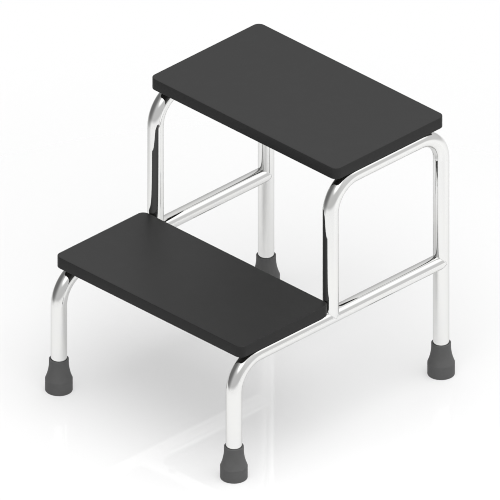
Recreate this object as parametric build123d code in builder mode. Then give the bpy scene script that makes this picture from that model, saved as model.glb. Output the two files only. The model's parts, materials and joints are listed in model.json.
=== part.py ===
from build123d import *
import os

# Two-step mounting block: two welded side frames of bent chromed tube, joined by crossbars,
# carry two covered boards, and each leg stands in a rubber foot.
#
# Millimetres. +Z is up, +Y points from the lower step to the upper one, +X is to the right of
# someone climbing. The origin is on the floor, in the middle of the footprint.

# ---- driving dimensions ----

step_rise = 229.0          # floor to lower step, and lower step to upper step
frame_width = 375.0        # between the centre lines of the two side frames
leg_spacing = 444.0        # between the centre lines of a front leg and a rear leg
post_setback = 207.0       # from a front leg's centre line back to the post's

tube_diameter = 25.0
tube_wall = 1.5
bend_radius = 50.0         # of the tube's centre line
weld_width = 1.0           # of a bead, measured out from the tube that ends there
weld_height = 1.2          # of a bead, measured out from the tube that runs through

tread_width = 400.0
tread_thickness = 19.0
tread_corner_radius = 11.5
cover_thickness = 2.5
cover_edge_radius = 1.0
upper_tread_front = -16.0
upper_tread_rear = 219.0
lower_tread_front = -219.4
lower_tread_rear = -28.6

foot_height = 55.0
foot_base_radius = 21.0
foot_neck_radius = 15.1
foot_neck_height = 50.0    # where the flare meets the straight neck
foot_flare_radius = 75.0
foot_edge_radius = 1.0
foot_floor = 8.0           # rubber under the tube's end
foot_groove_width = 2.0
foot_groove_depth = 1.5
foot_groove_radii = (10.0, 15.5)
foot_disc_radius = 12.0
foot_disc_thickness = 1.5

screw_spacing = 240.0      # between the two screws of one crossbar
screw_radius = 2.5
screw_hole_radius = 2.75
screw_engagement = 11.0    # length of screw inside the threaded insert
screw_head_radius = 4.75
screw_head_height = 3.3
screw_socket_radius = 1.75
screw_socket_depth = 1.8
saddle_radius = 6.0
saddle_thickness = 1.5
insert_radius = 4.0
insert_length = 12.0

# ---- places that follow from them ----

tube_radius = tube_diameter / 2
bore_radius = tube_radius - tube_wall
front_leg_y = -leg_spacing / 2
rear_leg_y = leg_spacing / 2
post_y = front_leg_y + post_setback
tube_end_z = foot_floor + foot_disc_thickness
lower_tread_z = step_rise - tread_thickness
upper_tread_z = 2 * step_rise - tread_thickness
lower_rail_z = lower_tread_z - tube_radius
upper_rail_z = upper_tread_z - tube_radius

# Each crossbar stands clear of the bends, under its tread.
bar_clearance = tube_radius + 0.5
lower_front_bar_y = front_leg_y + bend_radius + bar_clearance
lower_rear_bar_y = -46.5
upper_front_bar_y = post_y + bend_radius + bar_clearance
upper_rear_bar_y = rear_leg_y - bend_radius - bar_clearance

sides = {"left": -frame_width / 2, "right": frame_width / 2}
crossbars = {
    "lower_front": (lower_front_bar_y, lower_rail_z),
    "lower_rear": (lower_rear_bar_y, lower_rail_z),
    "upper_front": (upper_front_bar_y, upper_rail_z),
    "upper_rear": (upper_rear_bar_y, upper_rail_z),
}
legs = {
    "front_left": (sides["left"], front_leg_y),
    "front_right": (sides["right"], front_leg_y),
    "rear_left": (sides["left"], rear_leg_y),
    "rear_right": (sides["right"], rear_leg_y),
}
treads = {
    "lower": (lower_tread_front, lower_tread_rear, lower_tread_z),
    "upper": (upper_tread_front, upper_tread_rear, upper_tread_z),
}

# Rotations that turn a cylinder, which is made along +Z, to lie along another axis.
along_x = (0, 90, 0)
along_y = (90, 0, 0)
toward_front = along_y
upward = (0, 0, 0)

bead_end_radius = tube_radius + weld_width
bead_through_radius = tube_radius + weld_height
bead_length = 4 * tube_radius    # of the enlarged tubes whose overlap is a weld bead
cutter_length = 6 * tube_radius  # long enough to pass right through a tube joint
weld_flush_gap = 0.5             # the beads under a tread are ground off this far below it


def save(part, name):
    """Label a finished piece and write its STEP file."""
    part.label = name
    export_step(part, f"parts/{name}.step")


def rod(centre, direction, radius, length, mode=Mode.ADD):
    """A cylinder centred on a point, in the part that is being built."""
    with Locations(Location(centre, direction)):
        Cylinder(radius, length, mode=mode)


def rod_from(start, direction, radius, length, mode=Mode.ADD):
    """A cylinder that starts at a point, in the part that is being built."""
    with Locations(Location(start, direction)):
        Cylinder(radius, length, align=(Align.CENTER, Align.CENTER, Align.MIN), mode=mode)


def screw_places(level):
    """The four places, in plan, where screws hold the tread of one level."""
    return [
        (x, bar_y)
        for bar_name, (bar_y, bar_z) in crossbars.items()
        if bar_name.startswith(level)
        for x in (-screw_spacing / 2, screw_spacing / 2)
    ]


os.makedirs("parts", exist_ok=True)

# ---- side frames ----

for side, side_x in sides.items():
    post_joint = (side_x, post_y, lower_rail_z)
    rear_joint = (side_x, rear_leg_y, lower_rail_z)

    # Rear leg, top rail and post are one bent tube, coped over the lower rail at its end.
    with BuildPart() as upper_tube:
        with BuildLine(Plane.YZ.offset(side_x)) as upper_route:
            FilletPolyline(
                (rear_leg_y, tube_end_z),
                (rear_leg_y, upper_rail_z),
                (post_y, upper_rail_z),
                (post_y, lower_rail_z),
                radius=bend_radius,
            )
        with BuildSketch(Plane.XY.offset(tube_end_z)):
            with Locations((side_x, rear_leg_y)):
                Circle(tube_radius)
                Circle(bore_radius, mode=Mode.SUBTRACT)
        sweep(path=upper_route.wires()[0])
        rod(post_joint, along_y, tube_radius, cutter_length, Mode.SUBTRACT)
    save(upper_tube.part, f"{side}_upper_tube")

    # Front leg and lower rail are one bent tube, coped against the rear leg at its end.
    with BuildPart() as lower_tube:
        with BuildLine(Plane.YZ.offset(side_x)) as lower_route:
            FilletPolyline(
                (front_leg_y, tube_end_z),
                (front_leg_y, lower_rail_z),
                (rear_leg_y, lower_rail_z),
                radius=bend_radius,
            )
        with BuildSketch(Plane.XY.offset(tube_end_z)):
            with Locations((side_x, front_leg_y)):
                Circle(tube_radius)
                Circle(bore_radius, mode=Mode.SUBTRACT)
        sweep(path=lower_route.wires()[0])
        rod(rear_joint, upward, tube_radius, cutter_length, Mode.SUBTRACT)
    save(lower_tube.part, f"{side}_lower_tube")

    # A weld bead is what two slightly enlarged tubes share, outside the tubes themselves.
    # This one goes all round the post, where it stands on the lower rail.
    with BuildPart() as post_weld:
        rod(post_joint, along_y, bead_through_radius, bead_length)
        rod_from(post_joint, upward, bead_end_radius, bead_length, Mode.INTERSECT)
        rod(post_joint, upward, tube_radius, cutter_length, Mode.SUBTRACT)
        rod(post_joint, along_y, tube_radius, cutter_length, Mode.SUBTRACT)
    save(post_weld.part, f"{side}_post_weld")

    # The bead all round the end of the lower rail, where it meets the rear leg.
    with BuildPart() as rail_weld:
        rod(rear_joint, upward, bead_through_radius, bead_length)
        rod_from(rear_joint, toward_front, bead_end_radius, bead_length, Mode.INTERSECT)
        rod(rear_joint, along_y, tube_radius, cutter_length, Mode.SUBTRACT)
        rod(rear_joint, upward, tube_radius, cutter_length, Mode.SUBTRACT)
    save(rail_weld.part, f"{side}_rail_weld")

# ---- crossbars ----

for bar_name, (bar_y, bar_z) in crossbars.items():
    bar_middle = (0, bar_y, bar_z)
    rail_joint = (sides["right"], bar_y, bar_z)

    # The right half is coped against its rail and drilled for a screw, then mirrored.
    with BuildPart() as crossbar:
        rod_from(bar_middle, along_x, tube_radius, frame_width / 2)
        rod_from(bar_middle, along_x, bore_radius, frame_width / 2, Mode.SUBTRACT)
        rod(rail_joint, along_y, tube_radius, cutter_length, Mode.SUBTRACT)
        rod((screw_spacing / 2, bar_y, bar_z), upward, screw_hole_radius, cutter_length, Mode.SUBTRACT)
        mirror(about=Plane.YZ)
    save(crossbar.part, f"{bar_name}_crossbar")

    # A bead round each end of the bar, ground off flush under the tread.
    with BuildPart() as bar_welds:
        rod(rail_joint, along_y, bead_through_radius, bead_length)
        rod_from(bar_middle, along_x, bead_end_radius, frame_width / 2, Mode.INTERSECT)
        rod_from(bar_middle, along_x, tube_radius, frame_width, Mode.SUBTRACT)
        rod(rail_joint, along_y, tube_radius, cutter_length, Mode.SUBTRACT)
        split(bisect_by=Plane.XY.offset(bar_z + tube_radius - weld_flush_gap), keep=Keep.BOTTOM)
        mirror(about=Plane.YZ)
    save(bar_welds.part, f"{bar_name}_crossbar_welds")

# ---- feet ----

# The flare is an arc that leaves the neck straight down and ends on the base's rim.
flare_drop = (foot_flare_radius**2 - (foot_flare_radius - foot_base_radius + foot_neck_radius) ** 2) ** 0.5
foot_rim_height = foot_neck_height - flare_drop

for leg_name, (leg_x, leg_y) in legs.items():
    # A flared rubber ferrule, with ring grooves underneath for grip.
    with BuildPart() as foot:
        with BuildSketch(Plane.XZ.offset(-leg_y)):
            with BuildLine():
                outline = Polyline(
                    (leg_x, foot_height),
                    (leg_x, 0),
                    (leg_x + foot_base_radius, 0),
                    (leg_x + foot_base_radius, foot_rim_height),
                )
                RadiusArc(
                    outline @ 1,
                    (leg_x + foot_neck_radius, foot_neck_height),
                    foot_flare_radius,
                )
                Polyline(
                    (leg_x + foot_neck_radius, foot_neck_height),
                    (leg_x + foot_neck_radius, foot_height),
                    (leg_x, foot_height),
                )
            make_face()
        revolve(axis=Axis((leg_x, leg_y, 0), (0, 0, 1)))
        round_edges = foot.edges().filter_by(GeomType.CIRCLE).group_by(Axis.Z)
        fillet(round_edges[0] + round_edges[-1], foot_edge_radius)
        rod_from((leg_x, leg_y, foot_floor), upward, tube_radius, foot_height, Mode.SUBTRACT)
        with BuildSketch(Plane.XY):
            with Locations((leg_x, leg_y)):
                for groove_radius in foot_groove_radii:
                    Circle(groove_radius + foot_groove_width / 2)
                    Circle(groove_radius - foot_groove_width / 2, mode=Mode.SUBTRACT)
        extrude(amount=foot_groove_depth, mode=Mode.SUBTRACT)
    save(foot.part, f"{leg_name}_foot")

    # The steel disc that keeps the tube's end from cutting through the rubber.
    with BuildPart() as foot_disc:
        with BuildSketch(Plane.XY.offset(foot_floor)):
            with Locations((leg_x, leg_y)):
                Circle(foot_disc_radius)
        extrude(amount=foot_disc_thickness)
    save(foot_disc.part, f"{leg_name}_foot_disc")

# ---- treads ----

for level, (front_y, rear_y, underside_z) in treads.items():
    tread_depth = rear_y - front_y
    tread_middle = (0, (front_y + rear_y) / 2)
    core_width = tread_width - 2 * cover_thickness
    core_depth = tread_depth - 2 * cover_thickness
    core_thickness = tread_thickness - cover_thickness
    core_corner_radius = tread_corner_radius - cover_thickness
    bar_height = underside_z - tube_radius

    # The plywood board, with a blind hole for each threaded insert.
    with BuildPart() as core:
        with BuildSketch(Plane.XY.offset(underside_z)):
            with Locations(tread_middle):
                RectangleRounded(core_width, core_depth, core_corner_radius)
        extrude(amount=core_thickness)
        with BuildSketch(Plane.XY.offset(underside_z)):
            with Locations(*screw_places(level)):
                Circle(insert_radius)
        extrude(amount=insert_length, mode=Mode.SUBTRACT)
    save(core.part, f"{level}_tread_core")

    # The moulded rubber cover wraps the board's top and edges.
    with BuildPart() as cover:
        with BuildSketch(Plane.XY.offset(underside_z)):
            with Locations(tread_middle):
                RectangleRounded(tread_width, tread_depth, tread_corner_radius)
        extrude(amount=tread_thickness)
        fillet(cover.faces().sort_by(Axis.Z)[-1].edges(), cover_edge_radius)
        with BuildSketch(Plane.XY.offset(underside_z)):
            with Locations(tread_middle):
                RectangleRounded(core_width, core_depth, core_corner_radius)
        extrude(amount=core_thickness, mode=Mode.SUBTRACT)
    save(cover.part, f"{level}_tread_cover")

    with BuildPart() as inserts:
        with BuildSketch(Plane.XY.offset(underside_z)):
            with Locations(*screw_places(level)):
                Circle(insert_radius)
                Circle(screw_radius, mode=Mode.SUBTRACT)
        extrude(amount=insert_length)
    save(inserts.part, f"{level}_tread_inserts")

    # Saddle washers: flat below for the screw's head, hollow above to fit the round bar.
    saddle_z = bar_height - tube_radius - saddle_thickness
    with BuildPart() as saddles:
        with BuildSketch(Plane.XY.offset(saddle_z)):
            with Locations(*screw_places(level)):
                Circle(saddle_radius)
                Circle(screw_hole_radius, mode=Mode.SUBTRACT)
        extrude(amount=2 * saddle_thickness)
        for x, y in screw_places(level):
            rod((x, y, bar_height), along_x, tube_radius, cutter_length, Mode.SUBTRACT)
    save(saddles.part, f"{level}_saddle_washers")

    # Button-head screws: head below the saddle, shank up through the bar into the insert.
    with BuildPart() as screws:
        with BuildSketch(Plane.XY.offset(saddle_z)):
            with Locations(*screw_places(level)):
                Circle(screw_head_radius)
        extrude(amount=-screw_head_height)
        fillet(screws.edges().group_by(Axis.Z)[0], screw_head_height / 2)
        with BuildSketch(Plane.XY.offset(saddle_z)):
            with Locations(*screw_places(level)):
                Circle(screw_radius)
        extrude(amount=underside_z + screw_engagement - saddle_z)
        with BuildSketch(Plane.XY.offset(saddle_z - screw_head_height)):
            with Locations(*screw_places(level)):
                RegularPolygon(screw_socket_radius, 6)
        extrude(amount=screw_socket_depth, mode=Mode.SUBTRACT)
    save(screws.part, f"{level}_tread_screws")
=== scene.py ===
import json
import math

import bpy
import numpy as np
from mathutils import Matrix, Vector


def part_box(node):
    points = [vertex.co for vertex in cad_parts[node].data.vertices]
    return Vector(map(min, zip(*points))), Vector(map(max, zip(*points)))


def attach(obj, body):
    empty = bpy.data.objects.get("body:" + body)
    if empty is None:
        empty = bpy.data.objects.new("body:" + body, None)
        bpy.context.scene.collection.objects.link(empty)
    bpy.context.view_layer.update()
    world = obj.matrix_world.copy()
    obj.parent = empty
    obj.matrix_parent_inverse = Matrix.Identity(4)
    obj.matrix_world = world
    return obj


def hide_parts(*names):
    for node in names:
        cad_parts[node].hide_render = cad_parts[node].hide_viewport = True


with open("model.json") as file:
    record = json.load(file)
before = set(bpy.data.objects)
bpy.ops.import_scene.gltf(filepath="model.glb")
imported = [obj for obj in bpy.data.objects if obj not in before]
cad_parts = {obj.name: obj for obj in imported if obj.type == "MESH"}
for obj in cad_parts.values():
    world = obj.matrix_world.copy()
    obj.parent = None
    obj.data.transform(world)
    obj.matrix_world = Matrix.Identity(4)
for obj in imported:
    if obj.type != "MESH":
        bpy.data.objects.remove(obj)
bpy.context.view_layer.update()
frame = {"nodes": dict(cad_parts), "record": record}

# Two-step mounting block. The treads, tubes, welds and feet are modelled here around the frame,
# and the boards, screws, saddle washers, inserts and foot discs are the frame's own nodes.
# Metres; +Z is up, +Y points from the lower step to the upper one.

# ---- sizes ----

TUBE_WALL = 0.0015
BEND_RADIUS = 0.050
BEND_STEPS = 36
RUN_STEP = 0.010
TUBE_SIDES = 72
COPE_CLEARANCE = 0.002

WELD_RADIUS = 0.0006
WELD_LIFT = 0.00005
WELD_RIPPLES = 60
WELD_RIPPLE_DEPTH = 0.09
WELD_RIPPLE_MIDDLE = 0.6
WELD_END_SIZE = 0.25
WELD_TIP_ROUNDING = 0.10
WELD_SIDES = 12
SAMPLES_PER_RIPPLE = 6
CROSSBAR_WELD_GAP = math.radians(22)

FOOT_SIDES = 96
FOOT_NECK_RADIUS = 0.0151
FOOT_NECK_HEIGHT = 0.050
FOOT_FLARE_RADIUS = 0.075
FOOT_FLOOR = 0.008
FOOT_LIP_RADIUS = 0.0008
FOOT_EDGE_RADIUS = 0.001
FOOT_GROOVE_RADII = (0.0155, 0.0100)
FOOT_GROOVE_WIDTH = 0.002
FOOT_GROOVE_DEPTH = 0.0015
FOOT_FLARE_STEPS = 24
FOOT_EDGE_STEPS = 6
FOOT_SHARP_ANGLE = 20

TREAD_CORNER_RADIUS = 0.0115
TREAD_EDGE_RADIUS = 0.001
EASED_EDGE_MIDDLE = 0.3
COVER_THICKNESS = 0.0025
SMALLEST_CORNER_RADIUS = 0.0005
CORNER_STEPS = 16
EDGE_STEPS = 6

SIDES = ("left", "right")
LEVELS = ("lower", "upper")
LEGS = ("front_left", "front_right", "rear_left", "rear_right")
CROSSBARS = ("lower_front", "lower_rear", "upper_front", "upper_rear")

CAMERA_AZIMUTH = math.radians(45)
CAMERA_ELEVATION = math.radians(30)
CAMERA_TARGET = Vector((0, 0, 0.230))
CAMERA_WIDTH = 0.7576
CAMERA_DISTANCE = 3.0
CAMERA_REACH = 20

FLOOR_RADIUS = 1.05
FLOOR_SIDES = 128
FLOOR_FADE_START = 0.50
FLOOR_GLOW = 0.45
FLOOR_ALBEDO = 0.40
FLOOR_MOTTLING = 0.005

LAMP_PLACE = (0.75, -0.35, 3.0)
LAMP_DIAMETER = 3.6
LAMP_POWER = 115

X_AXIS = Vector((1, 0, 0))
Y_AXIS = Vector((0, 1, 0))
Z_AXIS = Vector((0, 0, 1))


# ---- node trees ----

class Graph:
    """Adds nodes to a node tree: inputs holds values, or the sockets to link from."""

    def __init__(self, tree):
        self.tree = tree
        self.tree.nodes.clear()

    def add(self, kind, inputs=None, **settings):
        node = self.tree.nodes.new(kind)
        for name, value in settings.items():
            setattr(node, name, value)
        for name, value in (inputs or {}).items():
            if isinstance(value, bpy.types.NodeSocket):
                self.tree.links.new(value, node.inputs[name])
            else:
                node.inputs[name].default_value = value
        return node

    def noise(self, vector, scale, detail=2.0, roughness=0.5):
        inputs = {"Vector": vector, "Scale": scale, "Detail": detail, "Roughness": roughness}
        return self.add("ShaderNodeTexNoise", inputs).outputs["Fac"]

    def remap(self, value, low, high, to_low, to_high, smooth=False):
        inputs = {"Value": value, "From Min": low, "From Max": high, "To Min": to_low, "To Max": to_high}
        kind = "SMOOTHSTEP" if smooth else "LINEAR"
        return self.add("ShaderNodeMapRange", inputs, interpolation_type=kind).outputs["Result"]

    def math(self, operation, first, second):
        return self.add("ShaderNodeMath", {0: first, 1: second}, operation=operation).outputs[0]

    def mix(self, factor, first, second):
        """A mix of two colours. The node's colour sockets are its inputs 6 and 7 and its output 2."""
        colours = {
            index: value if isinstance(value, bpy.types.NodeSocket) else (*value, 1)
            for index, value in ((6, first), (7, second))
        }
        return self.add("ShaderNodeMix", {"Factor": factor, **colours}, data_type="RGBA").outputs[2]

    def bump(self, height, distance, strength=1.0, normal=None):
        inputs = {"Height": height, "Distance": distance, "Strength": strength}
        if normal is not None:
            inputs["Normal"] = normal
        return self.add("ShaderNodeBump", inputs).outputs["Normal"]


def new_material(name, paint):
    """A material whose Principled inputs are what paint(graph) returns."""
    material = bpy.data.materials.new(name)
    material.use_nodes = True
    graph = Graph(material.node_tree)
    shader = graph.add("ShaderNodeBsdfPrincipled", paint(graph))
    graph.add("ShaderNodeOutputMaterial", {"Surface": shader.outputs["BSDF"]})
    return material


def grey(value):
    return (value, value, value)


def chrome(graph):
    """Bright plate: faint drawing lines along the tube, and handling marks that dull it in places."""
    place = graph.add("ShaderNodeTexCoord")
    stretch = graph.add("ShaderNodeMapping", {"Vector": place.outputs["UV"], "Scale": (14, 260, 1)})
    lines = graph.noise(stretch.outputs["Vector"], 1.0, 3.0, 0.6)
    marks = graph.noise(place.outputs["Object"], 26.0, 4.0, 0.6)
    dulling = graph.remap(marks, 0.45, 0.75, 0.02, 0.045, smooth=True)
    roughness = graph.math("ADD", dulling, graph.remap(lines, 0.3, 0.7, 0.0, 0.012))
    marked = graph.remap(marks, 0.4, 0.8, 0.0, 1.0)
    return {
        "Base Color": graph.mix(marked, (0.84, 0.84, 0.826), grey(0.825)),
        "Metallic": 1.0,
        "Specular Tint": (0.75, 0.75, 0.75, 1),
        "Roughness": roughness,
        "Normal": graph.bump(lines, 0.000002),
    }


def weld_chrome(graph):
    """Plate over a weld: a little duller and pitted between the ripples."""
    place = graph.add("ShaderNodeTexCoord").outputs["Object"]
    pits = graph.noise(place, 1800.0, 3.0, 0.6)
    stain = graph.noise(place, 300.0)
    return {
        "Base Color": graph.mix(stain, grey(0.88), grey(0.82)),
        "Metallic": 1.0,
        "Roughness": graph.remap(pits, 0.3, 0.7, 0.08, 0.20),
        "Normal": graph.bump(pits, 0.00003),
    }


def foot_rubber(graph):
    """Dark grey moulded rubber with a fine mould texture and slightly dusty patches."""
    place = graph.add("ShaderNodeTexCoord").outputs["Object"]
    grain = graph.noise(place, 2600.0, 2.0, 0.6)
    dust = graph.noise(place, 90.0, 4.0, 0.6)
    dusty = graph.remap(dust, 0.35, 0.7, 0.0, 1.0, smooth=True)
    return {
        "Base Color": graph.mix(dusty, grey(0.095), grey(0.100)),
        "Roughness": graph.remap(grain, 0.3, 0.7, 0.50, 0.66),
        "Specular IOR Level": 0.15,
        "Normal": graph.bump(grain, 0.00004),
    }


def tread_rubber(graph):
    """Black moulded rubber with a fine pebble grain and scuffs, glossier on top and matt at the sides:
    its black is painted lighter on the sides and near black on the underside, as painted light and shade.
    """
    place = graph.add("ShaderNodeTexCoord").outputs["Object"]
    facing = graph.add("ShaderNodeNewGeometry").outputs["Normal"]
    upward = graph.add("ShaderNodeSeparateXYZ", {"Vector": facing}).outputs["Z"]
    top = graph.remap(upward, 0.3, 0.9, 0.0, 1.0, smooth=True)
    # Painted shade: this mask paints the underside near black.
    below = graph.remap(upward, -0.9, -0.3, 1.0, 0.0, smooth=True)
    cells = graph.add("ShaderNodeTexVoronoi", {"Vector": place, "Scale": 850.0}, feature="SMOOTH_F1")
    grain = graph.math("ADD", cells.outputs["Distance"], graph.noise(place, 3200.0, 2.0, 0.6))
    scuffs = graph.noise(place, 34.0, 5.0, 0.62)
    scuffed = graph.remap(scuffs, 0.42, 0.72, 0.0, 1.0, smooth=True)
    # Painted light: the rubber's black is set by facing. The sides are painted lighter than the top so
    # that their tones balance the light falling on each, and the underside is painted near black as
    # shade.
    painted_top_tone = graph.mix(scuffed, grey(0.0124), grey(0.0136))
    painted_side_and_underside_tone = graph.mix(below, grey(0.029), grey(0.007))
    return {
        "Base Color": graph.mix(top, painted_side_and_underside_tone, painted_top_tone),
        "Roughness": graph.remap(scuffs, 0.3, 0.7, 0.40, 0.45),
        "Specular IOR Level": graph.remap(top, 0.0, 1.0, 0.05, 0.42),
        "Normal": graph.bump(grain, 0.000015, 0.5),
    }


def painted_board(graph):
    """Plywood sealed in black paint, with the veneer's grain along X showing through."""
    place = graph.add("ShaderNodeTexCoord").outputs["Object"]
    stretch = graph.add("ShaderNodeMapping", {"Vector": place, "Scale": (6, 190, 60)})
    grain = graph.noise(stretch.outputs["Vector"], 1.0, 6.0, 0.62)
    fibre = graph.noise(place, 1400.0, 2.0, 0.6)
    return {
        "Base Color": graph.mix(grain, grey(0.005), (0.012, 0.011, 0.010)),
        "Roughness": graph.remap(grain, 0.3, 0.7, 0.48, 0.66),
        "Specular IOR Level": 0.12,
        "Normal": graph.bump(fibre, 0.00002, 0.5, graph.bump(grain, 0.00012, 0.7)),
    }


def zinc_steel(graph):
    place = graph.add("ShaderNodeTexCoord").outputs["Object"]
    spangle = graph.noise(place, 700.0, 3.0, 0.6)
    return {
        "Base Color": graph.mix(spangle, (0.60, 0.60, 0.61), (0.46, 0.47, 0.49)),
        "Metallic": 1.0,
        "Roughness": graph.remap(spangle, 0.3, 0.7, 0.26, 0.42),
        "Normal": graph.bump(spangle, 0.00001),
    }


def turned_brass(graph):
    place = graph.add("ShaderNodeTexCoord").outputs["Object"]
    stretch = graph.add("ShaderNodeMapping", {"Vector": place, "Scale": (40, 40, 4200)})
    turning = graph.noise(stretch.outputs["Vector"], 1.0, 2.0)
    return {
        "Base Color": graph.mix(turning, (0.78, 0.58, 0.26), (0.60, 0.43, 0.18)),
        "Metallic": 1.0,
        "Roughness": graph.remap(turning, 0.3, 0.7, 0.22, 0.38),
        "Normal": graph.bump(turning, 0.00001),
    }


def black_nylon(graph):
    place = graph.add("ShaderNodeTexCoord").outputs["Object"]
    grain = graph.noise(place, 2200.0, 2.0, 0.6)
    return {
        "Base Color": graph.mix(grain, grey(0.020), grey(0.032)),
        "Roughness": graph.remap(grain, 0.3, 0.7, 0.38, 0.52),
        "Normal": graph.bump(grain, 0.00002),
    }


MATERIALS = {
    slot: new_material(slot, paint)
    for slot, paint in (
        ("chrome_tube", chrome),
        ("chrome_weld", weld_chrome),
        ("foot_rubber", foot_rubber),
        ("tread_rubber", tread_rubber),
        ("board_plywood", painted_board),
        ("disc_steel", zinc_steel),
        ("screw_steel", zinc_steel),
        ("insert_brass", turned_brass),
        ("saddle_plastic", black_nylon),
    )
}


# ---- meshes ----

def skin(rings, closed=False, cap_first=False, cap_last=False, along=None):
    """Vertices, faces and UVs of a skin through rings that have as many points each. A corner's UV is
    its ring's value in along, and how far it is round the ring."""
    count = len(rings[0])
    vertices = [tuple(point) for ring in rings for point in ring]
    along = along or list(range(len(rings)))
    faces = []
    uvs = []
    for i in range(len(rings) if closed else len(rings) - 1):
        n = (i + 1) % len(rings)
        for j in range(count):
            k = (j + 1) % count
            faces.append((i * count + j, i * count + k, n * count + k, n * count + j))
            left, right = j / count, (j + 1) / count
            uvs.append(((along[i], left), (along[i], right), (along[n], right), (along[n], left)))
    for wanted, i in ((cap_first, 0), (cap_last, len(rings) - 1)):
        if wanted:
            corners = range(i * count, (i + 1) * count)
            faces.append(tuple(corners) if i else tuple(reversed(corners)))
            uvs.append(((along[i], 0.0),) * count)
    return vertices, faces, uvs


def volume(vertices, faces):
    """Six times the volume inside the faces: negative when they look inwards."""
    points = np.array(vertices)
    total = 0.0
    for face in faces:
        fan = points[list(face)]
        total += (np.cross(fan[1:-1], fan[2:]) @ fan[0]).sum()
    return total


def make_piece(name, surface, slot, nodes, sharp_angle=32):
    """A smooth mesh piece that rides on the frame and stands for the given nodes."""
    vertices, faces, uvs = surface
    if volume(vertices, faces) < 0:
        faces = [tuple(reversed(face)) for face in faces]
        uvs = [tuple(reversed(corners)) for corners in uvs]
    mesh = bpy.data.meshes.new(name)
    mesh.from_pydata(vertices, [], faces)
    layer = mesh.uv_layers.new(name="along_and_around")
    flat_uvs = [value for corners in uvs for corner in corners for value in corner]
    layer.data.foreach_set("uv", flat_uvs)
    mesh.shade_smooth()
    mesh.set_sharp_from_angle(angle=math.radians(sharp_angle))
    mesh.materials.append(MATERIALS[slot])
    piece = bpy.data.objects.new(name, mesh)
    bpy.context.scene.collection.objects.link(piece)
    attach(piece, "root")
    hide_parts(*nodes)
    return piece


def middle(node):
    low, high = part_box(node)
    return (low + high) / 2


# ---- tubes ----

def bent_line(corners):
    """Stations along straight runs joined by arcs: each is a place and the direction there."""
    corners = [Vector(corner) for corner in corners]
    stations = []
    start = corners[0]
    for i in range(1, len(corners)):
        direction = (corners[i] - corners[i - 1]).normalized()
        is_last = i == len(corners) - 1
        end = corners[i] if is_last else corners[i] - direction * BEND_RADIUS
        steps = max(1, round((end - start).length / RUN_STEP))
        first = 0 if i == 1 else 1
        stations += [(start.lerp(end, s / steps), direction) for s in range(first, steps + 1)]
        if not is_last:
            turned = (corners[i + 1] - corners[i]).normalized()
            centre = end + turned * BEND_RADIUS
            for s in range(1, BEND_STEPS + 1):
                angle = math.pi / 2 * s / BEND_STEPS
                place = centre + (direction * math.sin(angle) - turned * math.cos(angle)) * BEND_RADIUS
                stations.append((place, direction * math.cos(angle) + turned * math.sin(angle)))
            start = stations[-1][0]
    return stations


def tube_ring(place, direction, side, radius, met, inwards, cope_radius):
    """Points round a tube. Where it ends on another one, met is that tube's direction, and each point
    is moved to that tube's surface: inwards is 1 at this tube's start and -1 at its end."""
    other = direction.cross(side)
    ring = []
    for j in range(TUBE_SIDES):
        angle = 2 * math.pi * j / TUBE_SIDES
        offset = (side * math.cos(angle) + other * math.sin(angle)) * radius
        setback = 0.0
        if met:
            across = offset.dot(direction.cross(met))
            setback = inwards * math.sqrt(max(0.0, cope_radius**2 - across**2))
        ring.append(place + offset + direction * setback)
    return ring


def tube_rings(stations, radius, side, cope_start, cope_end, cope_radius):
    """Rings round the stations, and how far along the line each is. A coped end is cut to the tube
    that it meets, whose direction is given, and the rings inside that tube are left out."""
    margin = cope_radius + COPE_CLEARANCE
    first, last = stations[0][0], stations[-1][0]
    rings = []
    along = []
    travelled = 0.0
    previous = first
    for place, direction in stations:
        travelled += (place - previous).length
        previous = place
        at_start, at_end = place == first, place == last
        near_start = cope_start and not at_start and (place - first).length < margin
        near_end = cope_end and not at_end and (place - last).length < margin
        if near_start or near_end:
            continue
        met = cope_start if at_start else cope_end if at_end else None
        inwards = 1 if at_start else -1
        rings.append(tube_ring(place, direction, side, radius, met, inwards, cope_radius))
        along.append(travelled)
    return rings, along


def tube_piece(node, stations, side, cope_start=None, cope_end=None):
    """A hollow tube: its outside, and back along its bore."""
    radius = (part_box(node)[1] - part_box(node)[0]).dot(side) / 2
    outer, outer_along = tube_rings(stations, radius, side, cope_start, cope_end, radius)
    bore, bore_along = tube_rings(stations, radius - TUBE_WALL, side, cope_start, cope_end, radius)
    rings = outer + bore[::-1]
    surface = skin(rings, closed=True, along=outer_along + bore_along[::-1])
    make_piece(f"{node}_chrome", surface, "chrome_tube", [node])


def side_frame(side):
    """The two bent tubes of one side, and the welds that join them."""
    upper_low, upper_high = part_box(f"{side}_upper_tube")
    lower_low, lower_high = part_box(f"{side}_lower_tube")
    x = (upper_low.x + upper_high.x) / 2
    radius = (upper_high.x - upper_low.x) / 2
    post_y, leg_y = upper_low.y + radius, upper_high.y - radius
    top_z, rail_z = upper_high.z - radius, lower_high.z - radius
    foot_z = upper_low.z
    front_y = lower_low.y + radius

    upper_corners = [(leg_y, foot_z), (leg_y, top_z), (post_y, top_z), (post_y, rail_z)]
    upper = bent_line([(x, y, z) for y, z in upper_corners])
    tube_piece(f"{side}_upper_tube", upper, X_AXIS, cope_end=Y_AXIS)
    lower_corners = [(front_y, foot_z), (front_y, rail_z), (leg_y, rail_z)]
    lower = bent_line([(x, y, z) for y, z in lower_corners])
    tube_piece(f"{side}_lower_tube", lower, X_AXIS, cope_end=Z_AXIS)

    post_bead = weld_bead(Vector((x, post_y, rail_z)), radius, Z_AXIS, Y_AXIS)
    make_piece(f"{side}_post_weld_bead", post_bead, "chrome_weld", [f"{side}_post_weld"])
    rail_bead = weld_bead(Vector((x, leg_y, rail_z)), radius, -Y_AXIS, Z_AXIS)
    make_piece(f"{side}_rail_weld_bead", rail_bead, "chrome_weld", [f"{side}_rail_weld"])


# ---- welds ----

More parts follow.
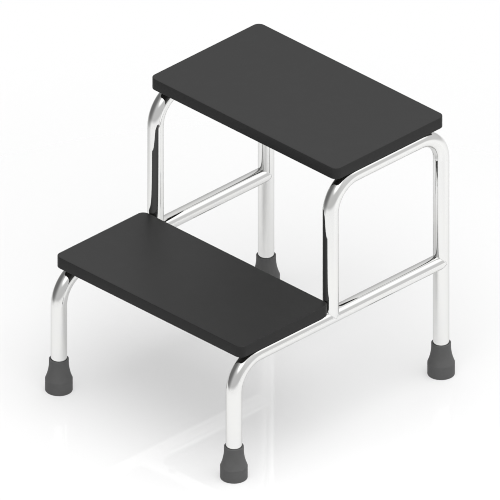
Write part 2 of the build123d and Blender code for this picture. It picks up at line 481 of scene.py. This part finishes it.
def joint_line(joint, radius, ending, through, angles):
    """Places along the line where a tube that ends at a joint meets the one that runs through, and
    the direction out of the corner at each."""
    across = ending.cross(through)
    centres = []
    lifts = []
    for angle in angles:
        reach = math.hypot(math.cos(angle), WELD_TIP_ROUNDING) - WELD_TIP_ROUNDING * abs(math.sin(angle))
        on_surface = across * math.sin(angle) + through * math.cos(angle) + ending * reach
        lift = across * math.sin(angle) * 2 + through * math.cos(angle) + ending * reach
        lifts.append(lift.normalized())
        centres.append(joint + on_surface * radius + lifts[-1] * WELD_LIFT)
    return centres, lifts


def bead_size(i, last, closed):
    """The bead's radius at its sample i: round ripples, which taper off at an open bead's two ends."""
    phase = i / SAMPLES_PER_RIPPLE % 1
    ripple = math.sqrt(1 - (2 * phase - 1) ** 2) - WELD_RIPPLE_MIDDLE
    taper = 1.0
    if not closed:
        taper = min(1.0, WELD_END_SIZE + min(i, last - i) / SAMPLES_PER_RIPPLE)
    return WELD_RADIUS * taper * (1 + WELD_RIPPLE_DEPTH * ripple)


def weld_bead(joint, radius, ending, through, span=(0.0, 2 * math.pi)):
    """A rippled bead along a joint's line, all round it or over a span of angles."""
    turn = span[1] - span[0]
    closed = turn > 2 * math.pi - 1e-6
    count = round(WELD_RIPPLES * SAMPLES_PER_RIPPLE * turn / (2 * math.pi))
    places = [span[0] + turn * i / count for i in range(count if closed else count + 1)]
    centres, lifts = joint_line(joint, radius, ending, through, places)
    last = len(centres) - 1
    angles = [2 * math.pi * j / WELD_SIDES for j in range(WELD_SIDES)]
    rings = []
    for i, centre in enumerate(centres):
        before = centres[i - 1] if closed or i else centre
        after = centres[(i + 1) % len(centres)] if closed or i < last else centre
        tangent = (after - before).normalized()
        flat = tangent.cross(lifts[i]).normalized()
        rise = flat.cross(tangent)
        size = bead_size(i, last, closed)
        rings.append([centre + (flat * math.cos(a) + rise * math.sin(a)) * size for a in angles])
    return skin(rings, closed=closed, cap_first=not closed, cap_last=not closed)


def merged(surfaces):
    """Several surfaces as one."""
    vertices, faces, uvs = [], [], []
    for some_vertices, some_faces, some_uvs in surfaces:
        start = len(vertices)
        vertices += some_vertices
        faces += [tuple(corner + start for corner in face) for face in some_faces]
        uvs += some_uvs
    return vertices, faces, uvs


def crossbar(name):
    """A coped crossbar, and the bead round each of its ends, ground off under the tread."""
    node = f"{name}_crossbar"
    low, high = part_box(node)
    centre = middle(node)
    radius = (high.z - low.z) / 2
    reach = X_AXIS * (middle("right_lower_tube").x - centre.x)
    tube_piece(node, bent_line([centre - reach, centre + reach]), Y_AXIS, Y_AXIS, Y_AXIS)
    beads = []
    for direction in (1, -1):
        joint = centre + reach * direction
        top = math.pi / 2 if direction < 0 else -math.pi / 2
        span = (top + CROSSBAR_WELD_GAP, top + 2 * math.pi - CROSSBAR_WELD_GAP)
        beads.append(weld_bead(joint, radius, X_AXIS * -direction, Y_AXIS, span))
    make_piece(f"{node}_weld_beads", merged(beads), "chrome_weld", [f"{node}_welds"])


# ---- feet ----

def arc(centre, radius, start, end, steps):
    """Points of an arc in a profile, between two angles in degrees."""
    angles = [math.radians(start + (end - start) * s / steps) for s in range(steps + 1)]
    return [(centre[0] + radius * math.cos(a), centre[1] + radius * math.sin(a)) for a in angles]


def foot_profile(bore, base, height):
    """Half of a foot's section, as radius and height: bore, lip, neck, flare, base, grooved underside."""
    lip = FOOT_LIP_RADIUS
    edge = FOOT_EDGE_RADIUS
    flare_x = FOOT_NECK_RADIUS + FOOT_FLARE_RADIUS
    flare_end = 180 + math.degrees(math.acos((flare_x - base) / FOOT_FLARE_RADIUS))
    rim_height = FOOT_NECK_HEIGHT + FOOT_FLARE_RADIUS * math.sin(math.radians(flare_end))
    half_groove = FOOT_GROOVE_WIDTH / 2

    profile = [(bore, FOOT_FLOOR), (bore, height / 2), (bore, height - lip)]
    profile += [(bore + lip / 2, height)]
    profile += arc((FOOT_NECK_RADIUS - lip, height - lip), lip, 90, 0, FOOT_EDGE_STEPS)
    profile += arc((flare_x, FOOT_NECK_HEIGHT), FOOT_FLARE_RADIUS, 180, flare_end, FOOT_FLARE_STEPS)
    profile += [(base, rim_height - edge), (base, rim_height / 2)]
    profile += arc((base - edge, edge), edge, 0, -90, FOOT_EDGE_STEPS)
    for groove in FOOT_GROOVE_RADII:
        profile += [(groove + half_groove, 0), (groove + half_groove / 2, FOOT_GROOVE_DEPTH)]
        profile += [(groove - half_groove / 2, FOOT_GROOVE_DEPTH), (groove - half_groove, 0)]
    return profile


def foot(leg):
    """A flared ferrule, turned from its profile round the leg's axis."""
    node = f"{leg}_foot"
    low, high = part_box(node)
    tube_low, tube_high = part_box("left_upper_tube")
    centre = middle(node)
    profile = foot_profile((tube_high.x - tube_low.x) / 2, (high.x - low.x) / 2, high.z - low.z)
    angles = [2 * math.pi * j / FOOT_SIDES for j in range(FOOT_SIDES)]
    rings = [
        [(centre.x + radius * math.cos(a), centre.y + radius * math.sin(a), low.z + z) for a in angles]
        for radius, z in profile
    ]
    surface = skin(rings, cap_first=True, cap_last=True)
    make_piece(f"{node}_rubber", surface, "foot_rubber", [node], sharp_angle=FOOT_SHARP_ANGLE)


# ---- treads ----

def rounded_outline(low, high, inset, corner_radius, z):
    """A rectangle with round corners, inset from a box's sides."""
    radius = max(corner_radius - inset, SMALLEST_CORNER_RADIUS)
    x = (high.x - low.x) / 2 - inset - radius
    y = (high.y - low.y) / 2 - inset - radius
    centre = (low + high) / 2
    outline = []
    for turn, (sign_x, sign_y) in enumerate(((1, 1), (-1, 1), (-1, -1), (1, -1))):
        for s in range(CORNER_STEPS + 1):
            angle = math.pi / 2 * (turn + s / CORNER_STEPS)
            outline.append((
                centre.x + sign_x * x + radius * math.cos(angle),
                centre.y + sign_y * y + radius * math.sin(angle),
                z,
            ))
    return outline


def tread_cover(level):
    """The moulded cover: pocket for the board, bottom lip, sides, rounded top edge and top."""
    node = f"{level}_tread_cover"
    low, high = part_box(node)
    edge = TREAD_EDGE_RADIUS
    lower_edge = edge / 2
    eased = lower_edge * EASED_EDGE_MIDDLE

    # Each level is an inset from the cover's sides, and a height. The lower edge is eased by one point
    # and the top edge is round, with a level beyond each of its ends to keep its shading tight.
    levels = [(COVER_THICKNESS, high.z - COVER_THICKNESS), (COVER_THICKNESS, low.z)]
    levels += [(lower_edge, low.z), (eased, low.z + eased), (0, low.z + lower_edge)]
    levels += [(0, high.z - 2 * edge)]
    for s in range(EDGE_STEPS + 1):
        angle = math.pi / 2 * s / EDGE_STEPS
        levels.append((edge - edge * math.cos(angle), high.z - edge + edge * math.sin(angle)))
    levels.append((3 * edge, high.z))
    rings = [rounded_outline(low, high, inset, TREAD_CORNER_RADIUS, z) for inset, z in levels]
    surface = skin(rings, cap_first=True, cap_last=True)
    make_piece(f"{node}_rubber", surface, "tread_rubber", [node])


# ---- the object ----

for side in SIDES:
    side_frame(side)
for name in CROSSBARS:
    crossbar(name)
for leg in LEGS:
    foot(leg)
for level in LEVELS:
    tread_cover(level)

slot_of = {row["node"]: row["material_slot"] for row in frame["record"]["subparts"]}
for name, node in frame["nodes"].items():
    if not node.hide_render:
        node.data.materials.clear()
        node.data.materials.append(MATERIALS[slot_of[name]])


# ---- studio ----

# The studio's light by direction: its level, then what each soft-edged patch of wall adds.
# A rise is the two heights of a unit direction between which one level blends into the next.
# A patch is an azimuth and elevation in degrees, the angles where it ends and is full, and a level.
BELOW_HORIZON = 1.0
HORIZON_RISE = (-0.30, -0.05)
HORIZON = 0.585
CEILING_RISE = (0.30, 0.95)
CEILING = 0.75
SOFTBOXES = (
    (68, 10, 83, 60, 0.094),
    (49, 40, 23, 5, 0.52),
    (-56, 52, 27, 6, 0.68),
)
DARK_WALL = (-155, 17, 66, 6, 0.167)


def aim(azimuth, elevation):
    azimuth, elevation = math.radians(azimuth), math.radians(elevation)
    across = math.cos(elevation)
    return (across * math.cos(azimuth), across * math.sin(azimuth), math.sin(elevation))


def studio_light(graph):
    """Light by direction: a grey horizon, a bright ceiling, soft boxes, and a dark wall at the left."""
    direction = graph.add("ShaderNodeTexCoord").outputs["Generated"]
    unit = graph.add("ShaderNodeVectorMath", {0: direction}, operation="NORMALIZE").outputs["Vector"]
    height = graph.add("ShaderNodeSeparateXYZ", {"Vector": unit}).outputs["Z"]

    def patch(azimuth, elevation, outer, inner, level):
        towards = {0: unit, 1: aim(azimuth, elevation)}
        node = graph.add("ShaderNodeVectorMath", towards, operation="DOT_PRODUCT")
        ends, full = math.cos(math.radians(outer)), math.cos(math.radians(inner))
        return graph.remap(node.outputs["Value"], ends, full, 0.0, level, smooth=True)

    light = graph.remap(height, *CEILING_RISE, HORIZON, CEILING, smooth=True)
    below = graph.remap(height, *HORIZON_RISE, BELOW_HORIZON - HORIZON, 0.0, smooth=True)
    light = graph.math("ADD", light, below)
    for softbox in SOFTBOXES:
        light = graph.math("ADD", light, patch(*softbox))
    *place, dark_level = DARK_WALL
    shade = graph.math("MULTIPLY", patch(*place, 1.0), graph.math("SUBTRACT", light, dark_level))
    return graph.math("SUBTRACT", light, shade)


def studio_world():
    """The studio all round. The camera sees plain white in its place, and the floor, the one sharp
    mirror, doesn't show it."""
    world = bpy.data.worlds.new("studio")
    world.use_nodes = True
    graph = Graph(world.node_tree)
    path = graph.add("ShaderNodeLightPath").outputs
    shown = graph.math("SUBTRACT", 1.0, path["Is Singular Ray"])
    strength = graph.math("MULTIPLY", studio_light(graph), shown)
    lit = graph.add("ShaderNodeBackground", {"Color": (1, 1, 1, 1), "Strength": strength})
    plain = graph.add("ShaderNodeBackground", {"Color": (1, 1, 1, 1), "Strength": 1.0})
    parts = {0: path["Is Camera Ray"], 1: lit.outputs[0], 2: plain.outputs[0]}
    mixed = graph.add("ShaderNodeMixShader", parts)
    graph.add("ShaderNodeOutputWorld", {"Surface": mixed.outputs[0]})
    bpy.context.scene.world = world


def floor_material():
    """Pale mirror-smooth floor, lit a little from below like a light table, that fades out all round."""
    material = bpy.data.materials.new("floor")
    material.use_nodes = True
    graph = Graph(material.node_tree)
    place = graph.add("ShaderNodeTexCoord").outputs["Object"]
    cloud = graph.noise(place, 3.0)
    darker, lighter = grey(FLOOR_ALBEDO - FLOOR_MOTTLING), grey(FLOOR_ALBEDO + FLOOR_MOTTLING)
    surface = graph.add("ShaderNodeBsdfPrincipled", {
        "Base Color": graph.mix(cloud, darker, lighter),
        "Emission Color": (1, 1, 1, 1),
        "Emission Strength": FLOOR_GLOW,
        "Roughness": 0.0,
        "Specular IOR Level": 0.35,
    })
    from_middle = graph.add("ShaderNodeVectorMath", {0: place}, operation="LENGTH").outputs["Value"]
    faded = graph.remap(from_middle, FLOOR_FADE_START, FLOOR_RADIUS, 0.0, 1.0, smooth=True)
    clear = graph.add("ShaderNodeBsdfTransparent")
    mixed = graph.add("ShaderNodeMixShader", {0: faded, 1: surface.outputs[0], 2: clear.outputs[0]})
    graph.add("ShaderNodeOutputMaterial", {"Surface": mixed.outputs[0]})
    return material


def studio_floor():
    mesh = bpy.data.meshes.new("floor")
    angles = [2 * math.pi * j / FLOOR_SIDES for j in range(FLOOR_SIDES)]
    rim = [(FLOOR_RADIUS * math.cos(a), FLOOR_RADIUS * math.sin(a), 0) for a in angles]
    mesh.from_pydata(rim, [], [tuple(range(len(rim)))])
    mesh.materials.append(floor_material())
    floor = bpy.data.objects.new("floor", mesh)
    bpy.context.scene.collection.objects.link(floor)


def overhead_light():
    """A wide soft lamp above the steps, which the chrome does not mirror."""
    data = bpy.data.lights.new("overhead", "AREA")
    data.shape = "DISK"
    data.size = LAMP_DIAMETER
    data.energy = LAMP_POWER
    lamp = bpy.data.objects.new("overhead", data)
    lamp.location = LAMP_PLACE
    lamp.visible_glossy = False
    bpy.context.scene.collection.objects.link(lamp)


def make_camera():
    data = bpy.data.cameras.new("camera")
    data.type = "ORTHO"
    data.ortho_scale = CAMERA_WIDTH
    data.clip_end = CAMERA_REACH
    camera = bpy.data.objects.new("camera", data)
    level = math.cos(CAMERA_ELEVATION)
    back = Vector((
        math.sin(CAMERA_AZIMUTH) * level,
        -math.cos(CAMERA_AZIMUTH) * level,
        math.sin(CAMERA_ELEVATION),
    ))
    camera.location = CAMERA_TARGET + back * CAMERA_DISTANCE
    camera.rotation_mode = "QUATERNION"
    camera.rotation_quaternion = (-back).to_track_quat("-Z", "Y")
    bpy.context.scene.collection.objects.link(camera)
    bpy.context.scene.camera = camera


studio_world()
studio_floor()
overhead_light()
make_camera()
bpy.context.scene.view_settings.view_transform = "Standard"
bpy.context.scene.cycles.filter_width = 1.0
